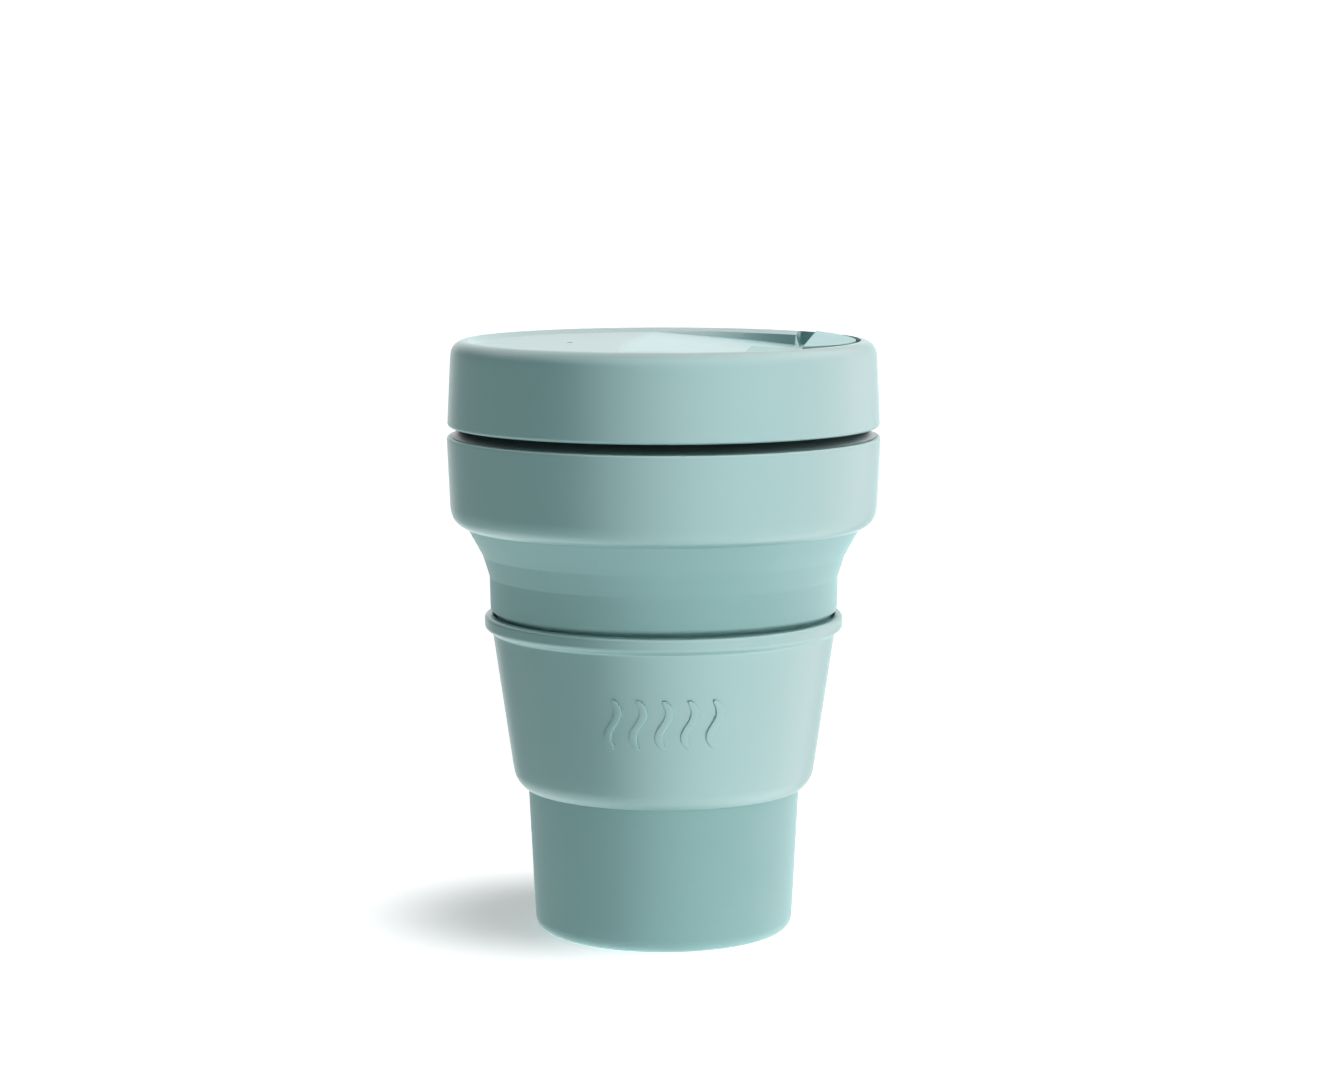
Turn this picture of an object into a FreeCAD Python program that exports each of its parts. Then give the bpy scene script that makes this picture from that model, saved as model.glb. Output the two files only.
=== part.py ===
import FreeCAD, Part
import math
import os
import re

import Sketcher

# Collapsible travel cup: a silicone cup that folds into itself, a collar, a screw lid and a heat sleeve.
# Sizes are millimetres. The cup stands on z = 0 with its axis on +Z, and the drinking side is near +X.

doc = FreeCAD.newDocument("TravelCup")
vec = FreeCAD.Vector
upward = vec(0, 0, 1)

dimensions = {
    # base section of the silicone cup, which stands on the table
    "footR": 25.1, "footRound": 2.8, "baseLowR": 27.6, "baseLowZ": 3.0, "baseTopR": 29.15, "baseTopZ": 34.0,
    "baseWall": 2.1, "baseInnerR": 25.6, "baseFloor": 3.0, "baseInnerRound": 5.0, "dishR": 19.0,
    "dishDepth": 0.8,
    # lower fold, inside the sleeve
    "foldWall": 1.4, "lowerFoldTopZ": 50.0,
    # middle section of the silicone, gripped by the sleeve
    "middleLowR": 32.1, "middleHighR": 34.25, "middleHighZ": 64.3, "middleTopR": 35.4, "middleTopZ": 66.4,
    "middleWall": 1.6,
    # upper fold: a band, a step and a flare between sleeve and collar
    "shoulderR": 35.65, "shoulderZ": 68.5, "shoulderRound": 1.6, "bandLowR": 36.9, "bandLowZ": 70.2,
    "bandTopR": 37.15, "bandTopZ": 76.3, "stepTopR": 38.45, "stepTopZ": 80.9, "flareTopR": 41.9,
    "flareTopZ": 86.9, "flareRound": 24.0,
    # rim section of the silicone, bonded in the collar
    "bondR": 43.4, "bondLowZ": 89.9, "bondTopZ": 104.5, "rimInnerR": 40.6,
    # collar with its threaded neck
    "lipR": 42.35, "lipZ": 87.3, "lipEdge": 0.3, "lipOuterR": 42.7, "lipHigh": 1.6, "collarLowR": 45.25,
    "collarLowZ": 90.5, "collarRound": 4.2, "collarTopR": 46.0, "collarTopZ": 106.3, "edgeRound": 0.5,
    "neckR": 42.4, "neckBoreR": 40.4, "neckTopZ": 118.0,
    # two-start screw thread; a ridge is a trapezoid that bites a little into its wall
    "threadLead": 8.0, "threadRise": 5.6, "threadRoot": 1.7, "threadCrest": 0.8, "threadHigh": 1.1,
    "threadBite": 0.3, "neckThreadZ": 110.9, "lidThreadZ": 109.38,
    # lid; it is drawn with the drinking side on +X and then turned by lidTurn degrees about the cup's axis
    "lidTurn": -5.5, "skirtR": 45.85, "skirtZ": 108.2, "skirtBoreR": 44.0, "lidShoulderR": 45.15,
    "lidShoulderZ": 122.9, "lidShoulderRound": 3.6, "lidTopR": 41.9, "lidTopZ": 126.35, "crestR": 41.5,
    "recessR": 38.2, "recessZ": 125.6, "ceilingZ": 121.6, "plate": 1.8, "landZ": 120.4, "ribInR": 38.2,
    "ribOutR": 39.7, "ribZ": 116.2,
    # ramp in the recess, and the ledge at the rim
    "rampStartX": -6.2, "rampEndX": 26.9, "rampEndZ": 123.5, "ledgeChord": 31.15, "ledgeTurn": 241.9,
    "ledgeSink": 0.5,
    # seal ring in the lid
    "sealInR": 39.9, "sealOutR": 43.8, "sealLowZ": 118.05, "sealTopZ": 120.25, "sealLip": 0.6,
    # stopper: flap with its plug, strap hinge and anchor
    "padR": 41.5, "flapR": 40.6, "flapFootX": 29.6, "flapFootZ": 124.2, "flapChordX": 30.95,
    "flapLowZ": 123.6, "flapTopZ": 126.75, "flapTipZ": 126.35, "plugX": 34.0, "plugR": 3.4,
    "plugTipR": 2.6, "plugTipZ": 120.6, "plugSink": 0.5, "sipHoleR": 3.65, "strapX": 26.6,
    "strapThick": 0.55, "strapTopZ": 124.2, "strapHalf": 13.0, "anchorX": 17.6, "padDepth": 0.7,
    "padGap": 0.1, "padEndX": 29.2, "stemX": 21.0, "stemY": 7.0, "stemR": 1.85, "stemHoleR": 1.9,
    "stemHeadR": 2.9, "stemHeadTopZ": 121.45, "stemHeadLowZ": 120.3, "ventX": -20.0, "ventR": 0.7,
    # heat sleeve with its rolled rim
    "sleeveLipR": 29.5, "sleeveLipZ": 31.0, "sleeveLipEdge": 0.2, "sleeveInnerZ": 33.0, "sleeveLowR": 32.2,
    "sleeveLowZ": 35.0, "sleeveRound": 6.0, "sleeveHighR": 36.55, "sleeveHighZ": 64.3, "sleeveWall": 1.9,
    "beadR": 38.2, "beadUnder": 0.6, "beadLean": 0.1, "beadLowZ": 65.0, "beadTopZ": 68.1, "beadRound": 0.8,
    "beadBoreR": 36.3,
}
clear = 60.0     # how far a large cutting shape reaches past what it cuts
overlap = 1.0    # the same, where a neighbour is close


def makeSheet():
    sheet = doc.addObject("Spreadsheet::Sheet", "dims")
    for row, (name, value) in enumerate(dimensions.items(), start=1):
        sheet.set(f"A{row}", name)
        sheet.set(f"B{row}", str(value))
        sheet.setAlias(f"B{row}", name)
    doc.recompute()
    return sheet


sheet = makeSheet()


def cells(text):
    """Turn the cell names in an expression into references to the sheet."""
    return re.sub(r"[A-Za-z]\w*(?!\w*\()", lambda word: "dims." + word.group(0), str(text))


def number(text):
    return float(sheet.evalExpression(cells(text)))


def newBody(name):
    body = doc.addObject("PartDesign::Body", name)
    body.Label = name
    return body


def originPlane(body, role):
    return next(item for item in body.Origin.OriginFeatures if item.Role == role)


def arcBetween(start, end, radius):
    """A short arc; a positive radius turns left from start to end."""
    chord = end - start
    left = vec(-chord.y, chord.x, 0).normalize()
    reach = math.sqrt(radius ** 2 - (chord.Length / 2) ** 2)
    centre = (start + end) / 2 + left * math.copysign(reach, radius)
    first, last = (start, end) if radius > 0 else (end, start)
    angles = [math.atan2(point.y - centre.y, point.x - centre.x) for point in (first, last)]
    return Part.ArcOfCircle(Part.Circle(centre, upward, abs(radius)), *angles)


def outline(body, name, steps, plane="XZ_Plane"):
    """A closed outline in a plane of the body. A step is (x, y), or (x, y, radius) where an arc leaves it."""
    sketch = body.newObject("Sketcher::SketchObject", name)
    sketch.AttachmentSupport = [(originPlane(body, plane), "")]
    sketch.MapMode = "FlatFace"
    points = [vec(number(step[0]), number(step[1]), 0) for step in steps]
    ends = []
    for index, step in enumerate(steps):
        start, end = points[index], points[(index + 1) % len(points)]
        if len(step) == 3:
            radius = number(step[2])
            edge = sketch.addGeometry(arcBetween(start, end, radius), False)
            rule = sketch.addConstraint(Sketcher.Constraint("Radius", edge, abs(radius)))
            sketch.setExpression(f"Constraints[{rule}]", cells(str(step[2]).lstrip("-")))
            ends.append((edge, 1, 2) if radius > 0 else (edge, 2, 1))
        else:
            ends.append((sketch.addGeometry(Part.LineSegment(start, end), False), 1, 2))
    for index, (edge, startPoint, endPoint) in enumerate(ends):
        following = ends[(index + 1) % len(ends)]
        sketch.addConstraint(Sketcher.Constraint("Coincident", edge, endPoint, following[0], following[1]))
        placePoint(sketch, edge, startPoint, points[index], steps[index])
    return sketch


def placePoint(sketch, edge, corner, point, step):
    """Hold one corner at its two sheet values, or on an axis where a value is nought."""
    for kind, axis, value, text in (("DistanceX", -2, point.x, step[0]), ("DistanceY", -1, point.y, step[1])):
        if value == 0:
            sketch.addConstraint(Sketcher.Constraint("PointOnObject", edge, corner, axis))
        else:
            rule = sketch.addConstraint(Sketcher.Constraint(kind, -1, 1, edge, corner, value))
            sketch.setExpression(f"Constraints[{rule}]", cells(text))


def turned(body, name, steps, kind="PartDesign::Revolution"):
    """Turn an outline of radius and height about the cup's axis."""
    sketch = outline(body, name + "Outline", steps)
    feature = body.newObject(kind, name)
    feature.Profile = sketch
    feature.ReferenceAxis = (sketch, ["V_Axis"])
    feature.Angle = 360
    return feature


def ridges(body, name, wallR, outward, lowZ):
    """Two helical thread ridges on a wall; outward is 1 on the neck and -1 in the lid."""
    rootX = f"{wallR} - {outward} * threadBite"
    crestX = f"{wallR} + {outward} * threadHigh"
    steps = [(rootX, f"{lowZ} - threadRoot / 2"), (crestX, f"{lowZ} - threadCrest / 2"),
             (crestX, f"{lowZ} + threadCrest / 2"), (rootX, f"{lowZ} + threadRoot / 2")]
    sketch = outline(body, name + "Outline", steps)
    ridge = body.newObject("PartDesign::AdditiveHelix", name)
    ridge.Profile = sketch
    ridge.ReferenceAxis = (sketch, ["V_Axis"])
    ridge.Mode = "pitch-height-angle"
    ridge.setExpression("Pitch", cells("threadLead"))
    ridge.setExpression("Height", cells("threadRise"))
    doc.recompute()
    pattern = body.newObject("PartDesign::PolarPattern", name + "Starts")
    pattern.Originals = [ridge]
    pattern.Axis = (sketch, ["V_Axis"])
    pattern.Angle = 360
    pattern.Occurrences = 2
    body.Tip = pattern
    return pattern


def bind(item, **sizes):
    """Bind an object's sizes and place to the sheet."""
    for key, text in sizes.items():
        path = {"x": "Placement.Base.x", "y": "Placement.Base.y", "z": "Placement.Base.z"}.get(key, key)
        item.setExpression(path, cells(text))
    return item


def primitive(kind, name, **sizes):
    return bind(doc.addObject("Part::" + kind, name), **sizes)


def combined(kind, name, base, tool):
    item = doc.addObject("Part::" + kind, name)
    item.Base = base
    item.Tool = tool
    return item


def joined(name, shapes):
    item = doc.addObject("Part::MultiFuse", name)
    item.Shapes = shapes
    return item


def crossPrism(name, steps, half):
    """A side view outline, in X and Z, made wide along Y on both sides of the axis."""
    body = newBody(name)
    sketch = outline(body, name + "Outline", steps)
    pad = body.newObject("PartDesign::Pad", name + "Pad")
    pad.Profile = sketch
    pad.Midplane = True
    pad.setExpression("Length", cells(f"2 * {half}"))
    return body


def finished(item, name):
    item.Label = name
    return item


def onLid(item):
    """Turn a piece of the lid about the cup's axis, so that the drinking side lies where it should."""
    item.Placement = FreeCAD.Placement(vec(), FreeCAD.Rotation(upward, number("lidTurn")))
    return item


# ---- silicone cup, in five stretches

def baseSection():
    body = newBody("base_section")
    turned(body, "baseShell", [
        (0, "dishDepth"), ("dishR - dishDepth", "dishDepth"), ("dishR", 0), ("footR", 0, "footRound"),
        ("baseLowR", "baseLowZ"), ("baseTopR", "baseTopZ"), ("baseTopR - baseWall", "baseTopZ"),
        ("baseInnerR", "baseFloor + baseInnerRound", "-baseInnerRound"),
        ("baseInnerR - baseInnerRound", "baseFloor"), (0, "baseFloor")])
    return body


def lowerFold():
    body = newBody("lower_fold")
    turned(body, "lowerFoldShell", [
        ("baseTopR", "baseTopZ"), ("middleLowR", "lowerFoldTopZ"),
        ("middleLowR - foldWall", "lowerFoldTopZ"), ("baseTopR - foldWall", "baseTopZ")])
    return body


def middleSection():
    body = newBody("middle_section")
    turned(body, "middleShell", [
        ("middleLowR", "lowerFoldTopZ"), ("middleHighR", "middleHighZ"), ("middleTopR", "middleTopZ"),
        ("middleTopR - middleWall", "middleTopZ"), ("middleHighR - middleWall", "middleHighZ"),
        ("middleLowR - middleWall", "lowerFoldTopZ")])
    return body


def upperFold():
    body = newBody("upper_fold")
    turned(body, "upperFoldShell", [
        ("middleTopR", "middleTopZ"), ("shoulderR", "shoulderZ", "shoulderRound"),
        ("bandLowR", "bandLowZ"), ("bandTopR", "bandTopZ"), ("stepTopR", "stepTopZ", "-flareRound"),
        ("flareTopR", "flareTopZ"), ("flareTopR - foldWall", "flareTopZ", "flareRound"),
        ("stepTopR - foldWall", "stepTopZ"), ("bandTopR - foldWall", "bandTopZ"),
        ("bandLowR - foldWall", "bandLowZ"), ("shoulderR - foldWall", "shoulderZ"),
        ("middleTopR - foldWall", "middleTopZ")])
    return body


def rimSection():
    body = newBody("rim_section")
    turned(body, "rimShell", [
        ("flareTopR", "flareTopZ"), ("lipR", "lipZ + lipEdge"), ("lipR", "lipZ + lipHigh"),
        ("bondR", "bondLowZ"),
        ("bondR", "bondTopZ"), ("rimInnerR", "bondTopZ"), ("rimInnerR", "bondLowZ"),
        ("flareTopR - foldWall", "flareTopZ")])
    return body


# ---- collar and sleeve

def collarRing():
    body = newBody("collar_ring")
    turned(body, "collarShell", [
        ("neckBoreR", "bondTopZ"), ("bondR", "bondTopZ"), ("bondR", "bondLowZ"), ("lipR", "lipZ + lipHigh"),
        ("lipR", "lipZ + lipEdge"), ("lipOuterR", "lipZ", "collarRound"), ("collarLowR", "collarLowZ"),
        ("collarTopR", "collarTopZ - edgeRound", "edgeRound"), ("collarTopR - edgeRound", "collarTopZ"),
        ("neckR", "collarTopZ"), ("neckR", "neckTopZ - edgeRound", "edgeRound"),
        ("neckR - edgeRound", "neckTopZ"), ("neckBoreR + edgeRound", "neckTopZ", "edgeRound"),
        ("neckBoreR", "neckTopZ - edgeRound")])
    doc.recompute()
    ridges(body, "neckRidge", "neckR", 1, "neckThreadZ")
    return body


def heatSleeve():
    body = newBody("heat_sleeve")
    turned(body, "sleeveShell", [
        ("sleeveLipR", "sleeveLipZ"), ("sleeveLipR + sleeveLipEdge", "sleeveLipZ", "sleeveRound"),
        ("sleeveLowR", "sleeveLowZ"), ("sleeveHighR", "sleeveHighZ"),
        ("beadR - beadUnder", "beadLowZ", "edgeRound"), ("beadR - beadLean", "beadLowZ + edgeRound"),
        ("beadR", "beadTopZ - beadRound", "beadRound"),
        ("beadR - beadRound", "beadTopZ"), ("beadBoreR", "beadTopZ"), ("beadBoreR", "beadTopZ - beadRound"),
        ("sleeveHighR - sleeveWall", "sleeveHighZ"), ("sleeveLowR - sleeveWall", "sleeveLowZ"),
        ("sleeveLipR", "sleeveInnerZ")])
    return body


# ---- lid

def rampSlope():
    return "(recessZ - rampEndZ) / (rampEndX - rampStartX)"


def rampHeight(x):
    return f"recessZ - {rampSlope()} * ({x} - rampStartX)"


def lidBlank():
    body = newBody("lidBlank")
    turned(body, "lidShape", [
        (0, "recessZ"), (0, "ceilingZ"), ("ribInR", "ceilingZ"), ("ribInR", "ribZ"), ("ribOutR", "ribZ"),
        ("ribOutR", "landZ"), ("skirtBoreR", "landZ"), ("skirtBoreR", "skirtZ + edgeRound"),
        ("skirtBoreR + edgeRound", "skirtZ"), ("skirtR - edgeRound", "skirtZ", "edgeRound"),
        ("skirtR", "skirtZ + edgeRound"), ("lidShoulderR", "lidShoulderZ", "lidShoulderRound"),
        ("lidTopR", "lidTopZ"), ("crestR", "lidTopZ"), ("recessR", "recessZ")])
    doc.recompute()
    ridges(body, "lidRidge", "skirtBoreR", -1, "lidThreadZ")
    return body


def rampCut():
    """The recess floor falls in a ramp towards the drinking side."""
    side = crossPrism("rampSide", [
        ("rampStartX", "recessZ"), ("rampEndX", "rampEndZ"), ("rampEndX", f"lidTopZ + {clear}"),
        ("rampStartX", f"lidTopZ + {clear}")], clear)
    disc = primitive("Cylinder", "rampDisc", Radius="recessR", Height=str(2 * clear), z="ceilingZ")
    return combined("Common", "rampCut", side, disc)


def undersideCut():
    """The ceiling follows the floor, so that the plate keeps one thickness."""
    side = crossPrism("ceilingSide", [
        ("-ribInR", f"ceilingZ - {overlap}"), ("rampEndX", f"ceilingZ - {overlap}"),
        ("rampEndX", "rampEndZ - plate"), ("rampStartX", "recessZ - plate"),
        ("-ribInR", "recessZ - plate")], clear)
    disc = primitive("Cylinder", "ceilingDisc", Radius="ribInR", Height=str(clear), z=f"ceilingZ - {overlap}")
    return combined("Common", "undersideCut", side, disc)


def flapPocket():
    """The D-shaped seat of the stopper flap, sunk in the rim."""
    side = primitive("Box", "pocketSide", Length=str(clear), Width=str(2 * clear), Height=str(clear),
                     x="rampEndX", y=f"-{clear}", z="rampEndZ")
    disc = primitive("Cylinder", "pocketDisc", Radius="padR", Height=str(2 * clear), z="ceilingZ")
    return combined("Common", "flapPocket", side, disc)


def anchorPocket():
    return crossPrism("anchorPocket", [
        ("anchorX - padGap", rampHeight("anchorX - padGap") + " - padDepth"),
        ("padEndX", rampHeight("padEndX") + " - padDepth"), ("padEndX", "lidTopZ"),
        ("anchorX - padGap", "lidTopZ")], "(strapHalf + padGap)")


def rimLedge():
    """A flat ledge at rim height, cut off by a chord on the side away from the drinking side."""
    disc = primitive("Cylinder", "ledgeDisc", Radius="crestR", Height="lidTopZ - recessZ + ledgeSink",
                     z="recessZ - ledgeSink")
    side = primitive("Box", "ledgeSide", Length=str(clear), Width=str(clear), Height=str(clear))
    turn = number("ledgeTurn")
    out = vec(math.cos(math.radians(turn)), math.sin(math.radians(turn)), 0)
    corner = out * number("ledgeChord") + vec(out.y, -out.x, 0) * clear / 2 + vec(0, 0, number("ceilingZ"))
    side.Placement = FreeCAD.Placement(corner, FreeCAD.Rotation(upward, turn))
    return combined("Common", "rimLedge", disc, side)


def lidShell():
    holes = [primitive("Cylinder", "sipHole", Radius="sipHoleR", Height=str(clear), x="plugX", z="ribZ"),
             primitive("Cylinder", "ventHole", Radius="ventR", Height=str(clear), x="ventX", z="ribZ")]
    for side, name in ((1, "stemHoleLeft"), (-1, "stemHoleRight")):
        holes.append(primitive("Cylinder", name, Radius="stemHoleR", Height=str(clear), x="stemX",
                               y=f"{side} * stemY", z="ribZ"))
    raised = combined("Fuse", "lidRaised", lidBlank(), rimLedge())
    tools = joined("lidTools", [rampCut(), undersideCut(), flapPocket(), anchorPocket()] + holes)
    return finished(combined("Cut", "lidCut", raised, tools), "lid_shell")


def sealRing():
    body = newBody("seal_ring")
    turned(body, "sealShape", [
        ("sealInR", "sealTopZ"), ("sealInR", "sealLowZ + sealLip"), ("sealInR + sealLip", "sealLowZ"),
        ("sealOutR - sealLip", "sealLowZ"), ("sealOutR", "sealLowZ + sealLip"), ("sealOutR", "sealTopZ")])
    return body


# ---- stopper

def stopperFlap():
    side = crossPrism("flapSide", [
        ("flapFootX", "flapLowZ"), (f"flapR + {overlap}", "flapLowZ"), (f"flapR + {overlap}", "flapTipZ"),
        ("flapChordX", "flapTopZ"), ("flapFootX", "flapFootZ")], clear)
    disc = primitive("Cylinder", "flapDisc", Radius="flapR", Height=str(clear), z="ceilingZ")
    head = combined("Common", "flapHead", side, disc)
    plug = primitive("Cone", "plug", Radius1="plugTipR", Radius2="plugR", x="plugX", z="plugTipZ",
                     Height="flapLowZ + plugSink - plugTipZ")
    return finished(combined("Fuse", "flapWithPlug", head, plug), "stopper_flap")


def stopperHinge():
    return crossPrism("stopper_hinge", [
        ("strapX", rampHeight("strapX") + " - strapThick"), ("flapFootX", "strapTopZ - strapThick"),
        ("flapFootX", "strapTopZ"), ("strapX", rampHeight("strapX"))], "strapHalf")


def stopperAnchor():
    pad = crossPrism("anchorPad", [
        ("anchorX", rampHeight("anchorX") + " - padDepth"), ("strapX", rampHeight("strapX") + " - padDepth"),
        ("strapX", rampHeight("strapX")), ("anchorX", rampHeight("anchorX"))], "strapHalf")
    shapes = [pad]
    for side, name in ((1, "Left"), (-1, "Right")):
        place = {"x": "stemX", "y": f"{side} * stemY"}
        shapes.append(primitive("Cylinder", "stem" + name, Radius="stemR", z="stemHeadLowZ",
                                Height=f"{rampHeight('stemX')} - padDepth / 2 - stemHeadLowZ", **place))
        shapes.append(primitive("Cylinder", "stemHead" + name, Radius="stemHeadR", z="stemHeadLowZ",
                                Height="stemHeadTopZ - stemHeadLowZ", **place))
    return finished(joined("anchorWithStems", shapes), "stopper_anchor")


def buildParts():
    cup = [baseSection(), lowerFold(), middleSection(), upperFold(), rimSection()]
    lid = [onLid(piece) for piece in (lidShell(), stopperFlap(), stopperHinge(), stopperAnchor())]
    return cup + [collarRing(), heatSleeve(), sealRing()] + lid


def checkDocument(parts):
    for item in doc.Objects:
        if {"Invalid", "Error"} & set(item.State):
            raise RuntimeError(f"{item.Name} failed: {item.State}")
    for part in parts:
        if part.Shape.isNull() or not part.Shape.isValid() or not part.Shape.Solids:
            raise RuntimeError(f"{part.Label} has no valid solid")


def exportParts(parts):
    os.makedirs("parts", exist_ok=True)
    for part in parts:
        part.Shape.exportStep(f"parts/{part.Label}.step")
        box = part.Shape.optimalBoundingBox()
        print(f"{part.Label:16s} {len(part.Shape.Solids)} solid {part.Shape.Volume:9.1f} mm3  "
              f"x {box.XMin:.2f}..{box.XMax:.2f}  z {box.ZMin:.2f}..{box.ZMax:.2f}")


parts = buildParts()
doc.recompute()
checkDocument(parts)
exportParts(parts)
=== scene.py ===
import math

import bmesh
import bpy
from mathutils import Matrix, Vector


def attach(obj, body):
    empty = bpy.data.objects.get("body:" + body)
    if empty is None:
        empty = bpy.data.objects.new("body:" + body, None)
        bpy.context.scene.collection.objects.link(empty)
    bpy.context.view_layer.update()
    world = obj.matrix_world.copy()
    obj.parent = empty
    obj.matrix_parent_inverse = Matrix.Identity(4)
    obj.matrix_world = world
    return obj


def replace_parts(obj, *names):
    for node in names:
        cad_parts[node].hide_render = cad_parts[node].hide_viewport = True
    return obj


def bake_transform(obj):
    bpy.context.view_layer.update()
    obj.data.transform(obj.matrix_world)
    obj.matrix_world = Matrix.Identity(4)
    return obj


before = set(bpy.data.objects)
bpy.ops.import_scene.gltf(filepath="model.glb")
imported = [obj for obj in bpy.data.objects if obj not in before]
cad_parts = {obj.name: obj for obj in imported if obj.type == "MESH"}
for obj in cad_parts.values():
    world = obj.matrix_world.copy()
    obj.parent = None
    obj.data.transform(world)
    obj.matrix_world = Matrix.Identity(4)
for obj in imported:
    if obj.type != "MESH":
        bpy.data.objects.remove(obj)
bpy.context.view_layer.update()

mm = 0.001
print("frame loaded:", len(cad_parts), "nodes")


look = {"steps": 256, "cornerSegments": 6, "sharpAngle": 38, "merge": 0.0005}


def smoothStep(value):
    t = max(0.0, min(1.0, value))
    return t * t * (3 - 2 * t)


def finishPiece(name, bm, material, sharpAngle=None):
    # turns a bmesh into an object with smooth shading and tidy normals
    bmesh.ops.remove_doubles(bm, verts=bm.verts[:], dist=look["merge"] * mm)
    bmesh.ops.recalc_face_normals(bm, faces=bm.faces[:])
    mesh = bpy.data.meshes.new(name)
    bm.to_mesh(mesh)
    bm.free()
    mesh.polygons.foreach_set("use_smooth", [True] * len(mesh.polygons))
    mesh.set_sharp_from_angle(angle=math.radians(sharpAngle or look["sharpAngle"]))
    mesh.materials.append(material)
    piece = bpy.data.objects.new(name, mesh)
    bpy.context.scene.collection.objects.link(piece)
    return piece


def rounded(bm, geom, offset, segments, affect="EDGES"):
    bmesh.ops.bevel(bm, geom=geom, offset=offset * mm, offset_type="OFFSET", affect=affect, segments=segments,
                    profile=0.5, material=-1, clamp_overlap=True)


def drawOutline(bm, corners):
    # corners are (radius, height, softness); the softness is how far back each corner starts to round;
    # an outline that starts on the axis ends there too, and any other is closed
    verts = [bm.verts.new((radius * mm, 0, height * mm)) for radius, height, soft in corners]
    onAxis = corners[0][0] == 0
    for first, second in list(zip(verts, verts[1:])) + ([] if onAxis else [(verts[-1], verts[0])]):
        bm.edges.new((first, second))
    for vert, corner in zip(verts, corners):
        if corner[2] > 0:
            rounded(bm, [vert], corner[2], look["cornerSegments"], affect="VERTICES")


def latheOutline(bm, steps=None):
    # turns the drawn outline about the cup's axis: a grid of outline points by steps round the circle
    steps = steps or look["steps"]
    start = next((vert for vert in bm.verts if len(vert.link_edges) == 1), bm.verts[:][0])
    path, came = [start], None
    while True:
        ahead = [edge for edge in path[-1].link_edges if edge is not came]
        if not ahead:
            break
        came = ahead[0]
        following = came.other_vert(path[-1])
        path.append(following)
        if following is start:
            break
    places = [(vert.co.x, vert.co.z) for vert in path]
    bmesh.ops.delete(bm, geom=bm.verts[:], context="VERTS")
    bmesh.ops.create_grid(bm, x_segments=len(places) - 1, y_segments=steps, size=0.5)
    for vert in bm.verts:
        radius, height = places[round((vert.co.x + 0.5) * (len(places) - 1))]
        angle = round((vert.co.y + 0.5) * steps) % steps / steps * math.tau
        vert.co = (radius * math.cos(angle), radius * math.sin(angle), height)
    bmesh.ops.remove_doubles(bm, verts=bm.verts[:], dist=look["merge"] * mm)


def turnedPiece(name, corners, material):
    bm = bmesh.new()
    drawOutline(bm, corners)
    latheOutline(bm)
    return finishPiece(name, bm, material)


def evenNormals(piece):
    # keeps large faces flat beside small rounded edges
    even = piece.modifiers.new("evenNormals", "WEIGHTED_NORMAL")
    even.keep_sharp = True
    return piece


paintedNeckShade = {
    # where the neck's foot is coloured dark as painted shade: each row fades in from its first place to its
    # second, in metres
    "colour": (0.02, 0.035, 0.035, 1), "outwards": (0.0451, 0.0448), "lowest": (0.1058, 0.1061),
    "highest": (0.1094, 0.1091),
}


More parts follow.
